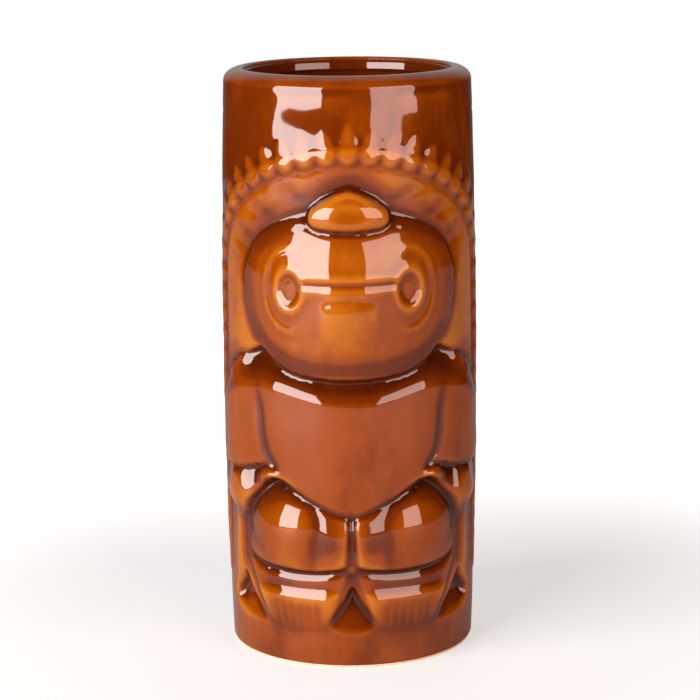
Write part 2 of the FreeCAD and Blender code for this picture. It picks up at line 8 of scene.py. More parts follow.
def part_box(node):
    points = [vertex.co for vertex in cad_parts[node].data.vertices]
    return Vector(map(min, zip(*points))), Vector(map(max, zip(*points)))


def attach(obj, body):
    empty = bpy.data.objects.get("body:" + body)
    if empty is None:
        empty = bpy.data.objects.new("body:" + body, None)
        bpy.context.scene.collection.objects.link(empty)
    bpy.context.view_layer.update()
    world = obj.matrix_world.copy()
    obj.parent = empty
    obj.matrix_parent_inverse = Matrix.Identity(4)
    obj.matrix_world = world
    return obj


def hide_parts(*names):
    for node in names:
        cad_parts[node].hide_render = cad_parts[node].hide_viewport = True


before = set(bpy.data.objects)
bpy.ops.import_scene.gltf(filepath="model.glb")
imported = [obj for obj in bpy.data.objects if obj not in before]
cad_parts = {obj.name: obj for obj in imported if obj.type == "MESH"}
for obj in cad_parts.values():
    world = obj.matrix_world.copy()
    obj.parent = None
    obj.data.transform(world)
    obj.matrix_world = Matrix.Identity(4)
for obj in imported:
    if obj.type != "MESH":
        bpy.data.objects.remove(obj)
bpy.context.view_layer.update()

# ------------------------------------------------------------------ sizes, in millimetres
SHELL_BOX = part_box("cast_shell")
HEIGHT = SHELL_BOX[1].z * 1000
BELLY = SHELL_BOX[1].x * 1000 + 0.1
WAIST_IN = 1.5                      # how much narrower the mug is at its foot and rim
WALL = 5.4                          # from the barrel side to the glazed inside
LIP_OUTSIDE = 5.0                   # how far in the rounding of the rim's outer edge reaches
LIP_DROP = 3.7                      # and how far down
LIP_INSIDE = 1.0                    # rounding of its inner edge
LIP_FLARE = 11.0                    # slope of the inside just under the rim, in degrees
FOOT_ROUND = 1.4                    # height of the rounding above the foot ring
FOOT_INSIDE = 29.0                  # inside radius of the foot ring
FOOT_HOLLOW = 1.5                   # depth of the hollow under the floor
FLOOR_TOP = 7.9                     # height of the floor inside
FLOOR_CORNER = 7.0                  # rounding between the floor and the wall inside
GLAZE = 0.4                         # thickness of the glaze skin inside
SEAT = 3.4                          # depth at which the relief forms meet the shell
STEP = 0.6                          # spacing of the surface grid at the front
FRONT_EDGE = 100.0                  # the sculpted front reaches this far round, in degrees
BACK_COLUMNS = 45                   # columns of the plain back; odd, so that a ring's count is even
PER_DEGREE = BELLY * math.pi / 180  # length along the wall of one degree


def barrel(z):
    """Radius of the mug's side at a height."""
    middle = HEIGHT / 2
    return BELLY - WAIST_IN * ((z - middle) / middle) ** 2


def ease(low, high, x):
    """0 below low, 1 above high, smooth between; low may be the larger."""
    t = np.clip((x - low) / (high - low), 0, 1)
    return t * t * (3 - 2 * t)


def ridge(x, width):
    """A rounded ridge of height 1 at x = 0."""
    return np.exp(-(x / width) ** 2)


def dome(depth, width):
    """A quarter ellipse: 0 at the edge, 1 from `width` inwards."""
    t = np.clip(depth / width, 0, 1)
    return np.sqrt(1 - (1 - t) ** 2)


def bend(x, width):
    """A slope that grows from 0 to 1 over `width` and then runs on straight."""
    x = np.clip(x, 0, None)
    return np.where(x < width, x * x / (2 * width), x - width / 2)


def soft_max(a, b, round_off):
    """The larger of two heights, blended where they are close."""
    t = np.clip(0.5 + 0.5 * (a - b) / round_off, 0, 1)
    return b + (a - b) * t + round_off * t * (1 - t)


def soft_min(a, b, round_off):
    """The smaller of two heights, blended where they are close."""
    return -soft_max(-a, -b, round_off)


# ------------------------------------------------------------------ the drawing plane
# S runs round the front from the figure's middle line, to the right, along the wall; Z is the
# height; A is the distance from the middle line, the same on both sides.
FRONT_S = np.linspace(-FRONT_EDGE, FRONT_EDGE, 2 * int(FRONT_EDGE * PER_DEGREE / STEP) + 1)
WALL_Z = np.linspace(FOOT_ROUND, HEIGHT - LIP_DROP, int((HEIGHT - LIP_DROP - FOOT_ROUND) / STEP))
S, Z = np.meshgrid(FRONT_S * PER_DEGREE, WALL_Z)
A = np.abs(S)


def places(points):
    """Points given as degrees round the axis and height, laid out flat in millimetres."""
    return np.array([(angle * PER_DEGREE, height) for angle, height in points])


def curve_through(points, closed=True, steps=10):
    """A smooth curve through the points, as a dense polyline."""
    count = len(points)
    line = []
    for i in range(count if closed else count - 1):
        if closed:
            p = [points[(i + k - 1) % count] for k in range(4)]
        else:
            p = [points[min(max(i + k - 1, 0), count - 1)] for k in range(4)]
        for t in np.arange(steps) / steps:
            line.append(0.5 * (2 * p[1] + (p[2] - p[0]) * t
                               + (2 * p[0] - 5 * p[1] + 4 * p[2] - p[3]) * t ** 2
                               + (3 * p[1] - p[0] - 3 * p[2] + p[3]) * t ** 3))
    if not closed:
        line.append(points[-1])
    return np.array(line)


def line_distance(line, x, z, closed=False):
    """Distance from each grid point to a polyline."""
    best = np.full(x.shape, 1e9)
    ends = np.roll(line, -1, axis=0) if closed else line[1:]
    for (ax, az), (bx, bz) in zip(line if closed else line[:-1], ends):
        dx, dz = bx - ax, bz - az
        t = np.clip(((x - ax) * dx + (z - az) * dz) / (dx * dx + dz * dz + 1e-12), 0, 1)
        best = np.minimum(best, (x - ax - t * dx) ** 2 + (z - az - t * dz) ** 2)
    return np.sqrt(best)


def depth_inside(line, x, z):
    """Distance to a closed outline, positive inside."""
    inside = np.zeros(x.shape, bool)
    for (ax, az), (bx, bz) in zip(line, np.roll(line, -1, axis=0)):
        if az == bz:
            continue
        crosses = (az > z) != (bz > z)
        inside ^= crosses & (x < (bx - ax) * (z - az) / (bz - az) + ax)
    distance = line_distance(line, x, z, closed=True)
    return np.where(inside, distance, -distance)


def mirrored(points):
    """A closed outline from its right half, which starts and ends on the middle line."""
    left = [(-angle, height) for angle, height in reversed(points) if angle > 0]
    return places(points + left)


def blur(field, spread):
    """Gaussian blur of a grid, the spread in millimetres."""
    reach = int(3 * spread / STEP) + 1
    kernel = np.exp(-0.5 * (np.arange(-reach, reach + 1) * STEP / spread) ** 2)
    kernel /= kernel.sum()
    padded = np.pad(field, reach, mode="edge")
    padded = np.apply_along_axis(np.convolve, 0, padded, kernel, mode="valid")
    return np.apply_along_axis(np.convolve, 1, padded, kernel, mode="valid")


# ------------------------------------------------------------------ outlines of the figure
# Each point is an angle round from the middle line, in degrees, and a height.
HEAD = curve_through(mirrored([
    (0, 137.0), (14, 136.4), (28, 134.2), (40.5, 129.9), (50, 123.6), (54.3, 115.5),
    (52.3, 105.5), (43.8, 95.6), (30, 89.6), (14, 87.3), (0, 86.9)]))
ORNAMENT = curve_through(mirrored([
    (0, 142.2), (7, 140.8), (13.5, 138.2), (17.6, 135.6), (17.4, 132.8), (14, 131.0),
    (7, 130.0), (0, 129.6)]))
YOKE = curve_through(mirrored([
    (0, 92), (30, 95), (45, 94.6), (58, 91.6), (68, 86.8), (73.6, 80), (74.6, 70), (74.5, 60),
    (60, 56), (40, 56), (20, 50), (0, 45.6)]))
CHEST = curve_through(mirrored([
    (0, 79.2), (12, 79.8), (25, 81.6), (35, 83.0), (43, 83.0), (52, 82.0), (62, 79.6), (69, 76),
    (72.4, 70), (73.0, 65), (71.5, 58.6), (60, 58.2), (45, 59.6), (38, 58.6), (33, 56.6),
    (21, 51.6), (10, 47.6), (0, 45.2)]), steps=8)
ARM_GROOVE = curve_through(places([
    (43.2, 83), (42.0, 78), (40.8, 70), (39.0, 64.5), (35.5, 60.5)]), closed=False)
HAND = curve_through(places([
    (74.5, 57.0), (66, 57.6), (55, 58.6), (46, 60.0), (40, 60.6), (34.5, 59.2), (31.4, 57.2),
    (36, 55.2), (43, 52.8), (49.5, 49.0), (54.5, 44.6), (59, 42.4), (64.5, 44.4), (70, 48.4),
    (74.6, 52.0)]))
KNEE = curve_through(places([
    (0.6, 45.0), (8, 47.6), (20, 51.6), (29, 55.2), (35.6, 56.4), (42, 54.2), (48.2, 49.4),
    (51.8, 43), (52.9, 36), (50.5, 32.4), (41, 30.3), (26, 29.4), (12, 29.6), (3, 30.6), (0.6, 34)]))
FOOT = curve_through(places([
    (53.6, 30.8), (44, 28.8), (30, 28.0), (14, 28.6), (3.6, 30.2), (2.0, 28.6), (5.6, 21.5),
    (10.6, 13.6), (18, 11.5), (34, 11.5), (41.2, 14.4), (47, 21.5)]))
SIDE_PIT = curve_through(places([
    (58.6, 25.2), (63, 22.8), (68.6, 18.6), (67.5, 15.2), (58, 12.6), (48, 12.0), (42.6, 12.7),
    (50.5, 18.2)]))
MID_PIT = curve_through(mirrored([(0, 25.0), (4.4, 20.4), (10.4, 14.0), (6, 11.4), (0, 10.6)]))

# middles of the rounded forms: distance from the middle line, and height
RAIL_S = 63.5 * PER_DEGREE
RAIL_GROOVE_S = 57.0 * PER_DEGREE
SHOULDER_S = 61.0 * PER_DEGREE
ARM_S = 59.0 * PER_DEGREE
FOREARM_S, FOREARM_Z = 57.5 * PER_DEGREE, 50.0
KNUCKLE_S, KNUCKLE_Z = 37.6 * PER_DEGREE, 56.9
KNEE_S, KNEE_Z = 27.5 * PER_DEGREE, 40.8
CALF_Z = 34.2
EYE_S, EYE_Z = 25.6 * PER_DEGREE, 113.5
BAR_HALF, BAR_Z = 20.2 * PER_DEGREE, 117.2
TOE_GROOVES = [(15.5 + 4.0 * number) * PER_DEGREE for number in range(6)]

# the border line: half an ellipse with straight legs
BORDER_HALF = 80.0 * PER_DEGREE
BORDER_SPRING = 112.0
BORDER_RISE = 39.4
BORDER_FOOT = 20.0
BEAD_PITCH = 6.4                    # from bead to bead along the line
BEAD_HALF = 3.15                    # half a bead's length
LEAF_LENGTH = 7.4                   # how far a leaf reaches out from the line
TOP_LEAF_LENGTH = 9.0               # the middle leaf over the head is longer


def border_line():
    """The border's line as a dense polyline, from the top to the right-hand foot."""
    turn = np.linspace(0, math.pi / 2, 60)
    arch = np.stack([BORDER_HALF * np.sin(turn), BORDER_SPRING + BORDER_RISE * np.cos(turn)], 1)
    leg = np.array([(BORDER_HALF, z) for z in np.arange(BORDER_SPRING - 1, BORDER_FOOT - 1, -1.0)])
    return np.concatenate([arch, leg])


def bead_frames():
    """Place, line direction and outward direction of each bead, from the top bead down the right."""
    line = border_line()
    lengths = np.concatenate([[0], np.cumsum(np.hypot(*np.diff(line, axis=0).T))])
    frames = []
    for distance in np.arange(0, lengths[-1], BEAD_PITCH):
        place = [np.interp(distance, lengths, line[:, k]) for k in (0, 1)]
        ahead = [np.interp(distance + 1, lengths, line[:, k]) for k in (0, 1)]
        behind = [np.interp(distance - 1, lengths, line[:, k]) for k in (0, 1)]
        along = np.array(ahead) - np.array(behind)
        if distance == 0:
            along = np.array([1.0, 0.0])
        along /= np.hypot(*along)
        outward = np.array([-along[1], along[0]])
        if outward[1] < -1e-6:
            outward = -outward
        if place[0] > BORDER_HALF - 0.5:
            outward = np.array([1.0, 0.0])
        frames.append((np.array(place), along, outward))
    return frames


# ------------------------------------------------------------------ the relief
def border_relief():
    """Heights of the beads and the leaves over the plain wall, each from 0 to 1."""
    beads, leaves = np.zeros(S.shape), np.zeros(S.shape)
    for number, (place, along, outward) in enumerate(bead_frames()):
        dx, dz = A - place[0], Z - place[1]
        u = dx * along[0] + dz * along[1]
        v = dx * outward[0] + dz * outward[1]
        q = ease(1.6, -0.8, v) * (u / BEAD_HALF) ** 2 + (v / np.where(v > 0, 3.4, 2.4)) ** 2
        beads = np.maximum(beads, np.sqrt(np.clip(1 - q, 0, 1)) * (np.abs(u) < 3.6))
        length = TOP_LEAF_LENGTH if number == 0 else LEAF_LENGTH
        t = np.clip((v - 0.5) / length, 0, 1)
        half = 3.0 * (1 - ((t - 0.3) / 0.75) ** 2)
        leaf = np.clip(1 - (u / half) ** 2, 0, 1) ** 0.8 * (1 - t) ** 0.35
        leaves = np.maximum(leaves, np.where(v > 0.5, leaf, 0))
    return beads, leaves


def sunk_panel(inside, head_in, ornament_in):
    """The field inside the border: flat beside the figure, a folded cove above the head."""
    towards_head = np.clip(inside - 2.2, 0, None)
    towards_head /= towards_head + np.clip(-np.maximum(head_in, ornament_in) - 1.2, 0, None) + 1e-6
    cove = -0.2 - 0.85 * towards_head ** 1.2
    high = ease(112, 126, Z)
    h = cove * high * ease(1.0, 2.6, inside) - 0.5 * ease(1.4, 3.6, inside) * (1 - high)
    h *= ease(22, 48, Z)
    h -= 0.45 * ridge(inside - 2.8, 0.7) * ease(20, 26, Z) * (1 - 0.8 * ease(118, 136, Z))
    folds = 0.10 * np.sin(0.50 * (Z - 0.50 * A) + 1.4) * ease(3, 8, inside) * ease(-1.0, -5, head_in)
    return h + folds * high * ease(2, 18, A)


class Surface:
    """The relief over the barrel side: heights, glaze thickness with painted shade laid into it, and
    each point's node.
    """

    def __init__(self):
        self.h = np.zeros(S.shape)
        # glaze thickness and painted shade together: a higher value darkens the glaze colour
        self.thick_and_shade = np.zeros(S.shape)
        self.label = np.full(S.shape, "cast_shell", dtype="<U20")

    def lay(self, depth, form):
        """Lays a form over what is there, inside its outline."""
        self.h = np.where(depth > 0, form, self.h)

    def name_pair(self, where, part):
        """Names a form that comes once on the left and once on the right."""
        self.label[where & (S < 0)] = "left_" + part
        self.label[where & (S > 0)] = "right_" + part


def relief():
    """The whole relief: the sunk panel with its border, then the figure laid on it."""
    line = border_line()
    arch = np.concatenate([line, [(BORDER_HALF, 6), (0, 6)]])
    inside = depth_inside(np.concatenate([arch, np.flip(arch, 0) * (-1, 1)]), S, Z)
    head_in = depth_inside(HEAD, S, Z)
    ornament_in = depth_inside(ORNAMENT, S, Z)
    knee_in = depth_inside(KNEE, A, Z)

    surface = Surface()
    add_panel(surface, inside, head_in, ornament_in)
    add_border(surface, inside)
    add_rails(surface)
    add_torso_and_arms(surface, head_in)
    add_hands(surface)
    add_knees(surface, knee_in)
    add_feet(surface, knee_in)
    add_pits(surface)
    add_head(surface, head_in)
    add_eyes_and_bar(surface, head_in)
    add_ornament(surface, ornament_in)
    return surface


def add_panel(surface, inside, head_in, ornament_in):
    """The sunk panel and, in its arch above the head, the hood; in the colour, painted shade as a dark
    band round the head and ornament and as streaks of fold shade, and a lighter upper panel.
    """
    surface.h += sunk_panel(inside, head_in, ornament_in)
    figure_in = np.maximum(head_in, ornament_in)
    high = ease(112, 130, Z)
    # painted shade: a dark band in the hollow round the head and ornament
    surface.thick_and_shade += 0.20 * ridge(figure_in + 3.8, 1.8) * high
    # painted shade of folds: dark streaks drawn in the colour, not in the shape
    fold_shade = ridge(np.sin(0.26 * (Z - 0.62 * A) + 0.5), 0.35) * ease(3, 8, inside) * ease(3, 14, A)
    surface.thick_and_shade += 0.16 * fold_shade * high * ease(-0.5, -4, figure_in)
    # the panel is made lighter above the waist, away from the figure and the border
    upper_lightening = (0.30 - 0.05 * high) * ease(1.5, 4, inside)
    surface.thick_and_shade -= upper_lightening * ease(-1, -3, figure_in) * ease(88, 98, Z)
    surface.label[(inside > 3.2) & (Z > 104)] = "hood"


def add_border(surface, inside):
    """The string of beads, the leaves outside it and the gutter inside it."""
    beads, leaves = border_relief()
    at_side = ease(66, 77, A / PER_DEGREE)
    outside = ease(0.5, -1.5, inside) * ease(14, 24, Z)
    surface.h -= 0.12 * outside * ease(-7.0, -2.0, inside)
    worn = 1 - 0.7 * ridge(S + 12, 8) - 0.6 * ridge(S - 12, 5) - 0.15 * ridge(S, 6) - 0.3 * at_side
    surface.h += 0.52 * leaves * worn * outside
    surface.thick_and_shade += 0.18 * ridge(leaves - 0.12, 0.12) * outside * ease(-0.4, -1.5, inside)
    surface.thick_and_shade += 0.05 * outside * ease(-7.0, -2.0, inside) * ease(0.5, 0.1, leaves)
    surface.thick_and_shade -= 0.15 * leaves * outside
    bead_height = -0.3 + (1.1 - 0.45 * at_side) * beads
    surface.h = np.where(beads > 0, np.maximum(surface.h, bead_height), surface.h)
    gutter = ridge(inside - 0.4, 1.3) * ease(-1.2, 0.2, inside)
    surface.h -= 0.3 * gutter * ease(0.35, 0.05, beads) * ease(20, 26, Z)
    surface.label[leaves > 0.12] = "leaf_fringe"
    surface.label[beads > 0.2] = "bead_border"


def add_rails(surface):
    """The ribs beside the legs, each with a groove on its inner side."""
    rail = ridge(A - RAIL_S, 2.1) * ease(20, 28, Z) * ease(56, 46, Z)
    surface.h += 0.65 * rail
    surface.h -= 0.45 * ridge(A - RAIL_GROOVE_S, 1.0) * ease(24, 32, Z) * ease(50, 40, Z)
    surface.thick_and_shade -= 0.2 * rail
    surface.name_pair(rail > 0.35, "rail")


def add_torso_and_arms(surface, head_in):
    """The sloping yoke with squared shoulders, and below it the chest and the upper arms."""
    yoke_in = depth_inside(YOKE, S, Z)
    chest_in = depth_inside(CHEST, S, Z)
    surface.h -= 0.35 * ridge(yoke_in + 0.9, 0.7) * ease(54, 62, Z)
    steep = 0.58 - 0.30 * ease(48, 60, A / PER_DEGREE)
    yoke = 1.35 - steep * (bend(-chest_in, 3.4) - 0.85 * bend(1.8 + head_in, 1.8))
    shoulder = ease(83, 90, Z) * ease(45, 52, A / PER_DEGREE)
    yoke += 1.5 * shoulder * ridge(A - SHOULDER_S, 6.0)
    yoke = soft_min(-1.6 + 3.2 * dome(yoke_in + 0.1, 2.2 + 2.6 * shoulder), yoke, 0.3)
    surface.lay(yoke_in + 0.1, yoke)
    surface.lay(chest_in, 1.35 + 0.35 * ease(0, 12, chest_in))
    surface.h += 0.9 * ridge(A - ARM_S, 7.0) * dome(yoke_in, 4) * ease(90, 84, Z)
    waist_crease = (0.6 - 0.4 * ease(26, 32, A)) * ridge(chest_in + 0.2, 0.9)
    surface.h -= waist_crease * ease(62, 56, Z)
    groove = line_distance(ARM_GROOVE, A, Z)
    surface.h -= 0.85 * ridge(groove, 1.5) * ease(86, 74, Z)

    body = yoke_in > 0
    # the chest is a little lighter; painted shade darkens the yoke above the chest and the arm groove,
    # and the body is a little darker overall
    surface.thick_and_shade -= 0.07 * (chest_in > 1)
    surface.thick_and_shade += 0.2 * body * ease(0.5, -1.5, chest_in) + 0.12 * ridge(groove, 2.0)
    surface.thick_and_shade += 0.06 * body
    surface.label[body] = "torso"
    surface.name_pair(body & (A > (38.5 + 0.16 * (Z - 60)) * PER_DEGREE), "arm")


def add_hands(surface):
    """The forearms, each a roll that bulges at its middle, with a knuckle at its tip."""
    hand_in = depth_inside(HAND, A, Z)
    bulge = 2.4 * ridge(A - FOREARM_S, 5.0) * ease(43, 51, Z)
    hand = 1.4 + bulge - 0.19 * bend(Z - FOREARM_Z, 2.0) - 0.2 * bend(FOREARM_Z - Z, 5.0)
    hand = soft_min(hand, -0.4 + 3.6 * dome(hand_in + 0.2, 3.6), 0.4)
    knuckle = 2.7 - (A - KNUCKLE_S) ** 2 / 12 - (Z - KNUCKLE_Z) ** 2 / 5.0
    hand = soft_max(hand, knuckle, 0.3) * ease(77, 69, A / PER_DEGREE)
    surface.lay(hand_in, hand)
    surface.thick_and_shade += 0.12 * (hand_in > 0)
    surface.name_pair(hand_in > 0, "hand")


def add_knees(surface, knee_in):
    """The round knees with the calves under them, the saddle between them and the web at its middle."""
    surface.h -= 0.45 * ridge(knee_in + 0.3, 0.7) * ease(-3, 0, knee_in) * ease(34, 40, Z + 0.2 * A)
    across = A - KNEE_S
    ball = 4.4 - across ** 2 / np.where(across > 0, 56, 34)
    ball -= (Z - KNEE_Z) ** 2 / np.where(Z > KNEE_Z, 33, 75)
    calf = 2.5 - across ** 2 / 150 - (Z - CALF_Z) ** 2 / 20
    saddle = 0.9 - 0.3 * bend(A - 7.5, 4) + 0.3 * ridge(A, 3.0)
    saddle += 0.18 * (bend(51 - Z, 1) - bend(41.5 - Z + 0.2 * A, 5))
    knee = soft_max(soft_max(ball, calf, 1.2), saddle, 0.6)
    surface.lay(knee_in, soft_min(knee, -0.8 + 5.6 * dome(knee_in, 6.5), 0.6))
    web = -2.0 + 3.7 * ridge(A, 4.0) * ease(26, 31, Z) * ease(49, 42, Z)
    surface.h = np.where(A < 3, np.maximum(surface.h, web), surface.h)
    # painted shade: a dark patch in the hollow by the middle between the knees and a dark band above
    # the crease under each knee; the knees are also a little darker overall
    surface.thick_and_shade += 0.2 * ridge(Z - 38.5, 2.6) * ridge(A - 6.0, 4.0)
    surface.thick_and_shade += 0.1 * ridge(Z - 31.5, 1.5) * (knee_in > 0) + 0.09 * (knee_in > 0)
    surface.name_pair(knee_in > 0, "knee")


def add_feet(surface, knee_in):
    """The feet: instep, upper bevel, and toes that run out into the plinth."""
    foot_in = depth_inside(FOOT, A, Z)
    surface.h -= 0.35 * ridge(foot_in + 0.5, 0.8) * ease(17, 24, Z)
    instep = 0.65 * ease(31.5, 26, Z) + 1.15 * ease(24.8, 21.0, Z)
    foot = -0.35 + (0.35 + instep * dome(foot_in, 3.0)) * ease(9.5, 21.0, Z)
    foot = foot + 0.35 * ease(19.5, 12, Z)
    for place in TOE_GROOVES:
        toes = ridge(A - place, 0.75) * ease(21.0, 18.0, Z) * ease(10.5, 15.0, Z)
        foot -= 0.16 * toes
        surface.thick_and_shade += 0.07 * toes
    below_knee = knee_in < 0
    surface.h = np.where((foot_in > 0) & below_knee, soft_max(surface.h, foot, 0.2), surface.h)
    surface.name_pair((foot_in > 0.2) & below_knee, "foot")


def add_pits(surface):
    """The scooped pits, deep at the top and shallow at the bottom, and the slit between the legs."""
    side_in = depth_inside(SIDE_PIT, A, Z)
    mid_in = depth_inside(MID_PIT, S, Z)
    side_depth = soft_min(0.15 + 0.42 * (Z - 11.8), 3.1, 0.8)
    surface.h -= np.clip(side_depth, 0, None) * dome(side_in, 1.5)
    surface.h -= (0.1 + 0.22 * np.clip(Z - 10.5, 0, 12)) * dome(mid_in, 1.7)
    surface.thick_and_shade -= 0.10 * ease(0, 1.5, side_in)
    surface.label[(side_in > 0) | (mid_in > 0)] = "cast_shell"
    slit = (0.35 * ease(20, 26, Z) + 0.65 * ease(33, 38, Z)) * ease(50, 44, Z)
    surface.h -= 0.9 * ridge(S, 0.7) * slit


def add_head(surface, head_in):
    """The head: it leans back above the bar, is upright below it, and rolls under at the edge."""
    surface.h -= 0.25 * ridge(head_in + 0.2, 0.6) * ease(-2.0, 0, head_in)
    brow, jaw = np.clip(Z - 117.5, 0, None), np.clip(112 - Z, 0, None)
    face = 4.2 - 0.0145 * brow ** 2 - 0.0042 * jaw ** 2 + face_relief(head_in)
    muzzle = 0.07 * (bend(114.5 - Z, 1) - bend(108.5 - Z, 3)) - 0.7 * ease(106, 92, Z)
    face += muzzle * ease(9.5, 6, A)
    face -= S ** 2 / 420 + 1.5 * (1 - ridge(S, 17))
    edge = -0.9 + 0.7 * dome(head_in, 0.8) + 5.8 * dome(head_in, 14)
    edge -= 0.12 * ridge(head_in - 2.0, 0.4)
    surface.lay(head_in, soft_min(face, edge, 0.6) - 0.12 * ridge(head_in - 4.6, 0.5))
    # painted shade: the head is darkened towards its edge, most of all round the chin, and made lighter
    # in the middle
    rim = 0.22 + 0.22 * ease(106, 94, Z)
    surface.thick_and_shade = np.where(head_in > 0, rim * ease(9, 2, head_in) - 0.10, surface.thick_and_shade)
    surface.thick_and_shade -= 0.14 * ridge(eye_radius(), 2.8) * (head_in > 0)
    surface.label[head_in > 0] = "head"


def eye_radius():
    """Distance from the middle of the nearer eye, squeezed to the eye's upright oval."""
    return np.hypot((A - EYE_S) * 1.02, (Z - EYE_Z) * 0.74)


def face_relief(head_in):
    """Low relief of the face: the eye sockets and the lines carved round them and along the edge."""
    r = eye_radius()
    outer = ease(-5.0, 2.0, A - EYE_S)
    carved = -0.16 * ridge(r - 7.4, 1.1) * outer
    carved += 0.17 * ridge(r - 8.9, 0.9) * outer
    carved -= 0.16 * ridge(r - 10.6, 0.8) * outer
    socket = -0.5 * ridge(r, 6.5)
    edge_lines = -0.08 * (ridge(head_in - 6.2, 0.4) + ridge(head_in - 7.6, 0.4)) * ease(18, 26, A)
    edge_lines *= ease(124, 116, Z)
    return (carved + socket + edge_lines) * ease(2, 6, head_in)


def add_eyes_and_bar(surface, head_in):
    """The eye rings, their pits and the bar that joins them."""
    r = eye_radius()
    on_head = head_in > 0
    ring = 0.6 * ridge(r - 4.4, 0.9)
    pit = -0.3 * ease(3.8, 2.6, r) - 0.16 * ridge(r - 2.9, 0.7)
    span = ease(BAR_HALF + 1.2, BAR_HALF - 1.2, A)
    bar = 0.42 * ridge(Z - BAR_Z, 1.1) * span
    slot = -0.7 * ridge(Z - BAR_Z + 1.9, 0.42) * span
    lip = 0.25 * ridge(Z - BAR_Z + 3.9, 1.5) * span
    surface.h = surface.h + (ring + pit + bar + slot + lip) * on_head
    surface.name_pair((r < 5.4) & on_head, "eye_ring")
    surface.label[(bar > 0.15) & (r >= 5.4) & on_head] = "face_bar"


def add_ornament(surface, ornament_in):
    """The forehead ornament: a pebble with a lighter bevel below."""
    surface.h -= 0.3 * ridge(ornament_in + 0.4, 0.6) * ease(-2.5, 0, ornament_in)
    pebble = 4.2 - (Z - 134.2) ** 2 / 18 - S ** 2 / 54
    bevel = 2.6 - 0.55 * np.clip(133.0 - Z, 0, None) - S ** 2 / 110
    pebble = soft_min(soft_max(pebble, bevel, 0.3), -0.2 + 3.8 * dome(ornament_in, 3.0), 0.3)
    surface.lay(ornament_in, pebble)
    paler = 0.09 - 0.10 * ease(133, 130.5, Z)
    surface.thick_and_shade = np.where(ornament_in > 0, paler, surface.thick_and_shade)
    surface.label[ornament_in > 0] = "forehead_ornament"


def waviness():
    """The gentle unevenness of a cast and glazed wall."""
    wave = 0.05 * np.sin(0.21 * S + 0.5) * np.sin(0.17 * Z + 1.1)
    wave += 0.03 * np.sin(0.37 * S - 0.29 * Z + 2.0)
    left = ease(-27, -15, S) * ease(8, -6, S)
    wave += left * (0.34 * ease(157.5, 167.5, Z) + 0.22 * ease(158, 149, Z))
    wave += 0.50 * ease(150, 167, Z) * ease(12, 19, S) * ease(42, 28, S)
    return wave


# ------------------------------------------------------------------ grids and meshes
def gathered_glaze_and_shade(h, thick_and_shade):
    """How much deeper the glaze stands in hollows than on ridges, from fine to broad ones, plus the
    glaze thickness and painted shade that the forms add.
    """
    pool_and_shade = np.clip(0.62 * (blur(h, 0.9) - h), -0.3, 0.34)
    pool_and_shade += np.clip(0.26 * (blur(h, 3.0) - h), -0.2, 0.22) + 0.06 * (blur(h, 8.0) - h)
    return -soft_max(-(pool_and_shade + blur(thick_and_shade, 0.5)), np.full(h.shape, -0.42), 0.1)


def wall_field():
    """Angles, heights, glaze depth with painted shade, and nodes over the wall: sculpted front and
    plain back.
    """
    surface = relief()
    fade = ease(FRONT_EDGE * PER_DEGREE, (FRONT_EDGE - 4) * PER_DEGREE, A)
    crease = 0.12 * ridge(Z - 161.5, 0.9) * ease(40, 60, A)
    h = blur(surface.h, 0.52) - crease + waviness()
    h = h * fade * ease(HEIGHT - LIP_DROP, HEIGHT - LIP_DROP - 3, Z) * ease(FOOT_ROUND, 8, Z)
    pool_and_shade = gathered_glaze_and_shade(h, surface.thick_and_shade) * fade
    back = np.linspace(FRONT_EDGE, 360 - FRONT_EDGE, BACK_COLUMNS + 2)[1:-1]
    plain = np.zeros((len(WALL_Z), BACK_COLUMNS))
    angles = np.concatenate([FRONT_S, back])
    label = np.hstack([surface.label, np.full(plain.shape, "cast_shell")])
    return angles, np.hstack([h, plain]), np.hstack([pool_and_shade, plain]), label


def lip_rings():
    """Radius and height of the rings over the rim, from outside to inside."""
    outer = barrel(HEIGHT - LIP_DROP)
    rings = []
    for turn in np.linspace(10, 90, 8):
        a = math.radians(turn)
        rings.append((outer - LIP_OUTSIDE * (1 - math.cos(a)),
                      HEIGHT - LIP_DROP * (1 - math.sin(a))))
    middle = outer - LIP_OUTSIDE
    for turn in np.linspace(0, 90 - LIP_FLARE, 8)[1:]:
        a = math.radians(turn)
        rings.append((middle - LIP_INSIDE * math.sin(a), HEIGHT - LIP_INSIDE * (1 - math.cos(a))))
    return rings


def foot_rings():
    """Rings from the middle of the underside over the bare foot ring and round to the wall."""
    foot = barrel(0)
    rings = [(0.5, FOOT_HOLLOW), (14, FOOT_HOLLOW), (FOOT_INSIDE - 1.4, FOOT_HOLLOW),
             (FOOT_INSIDE - 0.4, 1.1), (FOOT_INSIDE, 0.2), (FOOT_INSIDE + 0.4, 0.0), (33.0, 0.0),
             (foot - 0.75, 0.0), (foot - 0.52, 0.1), (foot - 0.42, 0.7), (foot - 0.3, 0.8)]
    for turn in (45, 30, 15):
        a = math.radians(turn)
        rings.append((foot - 0.02 - 0.6 * (1 - math.cos(a)), FOOT_ROUND - 0.7 * math.sin(a)))
    return rings


BARE_RINGS = (4, 9)                 # between these rings under the wall the clay is bare


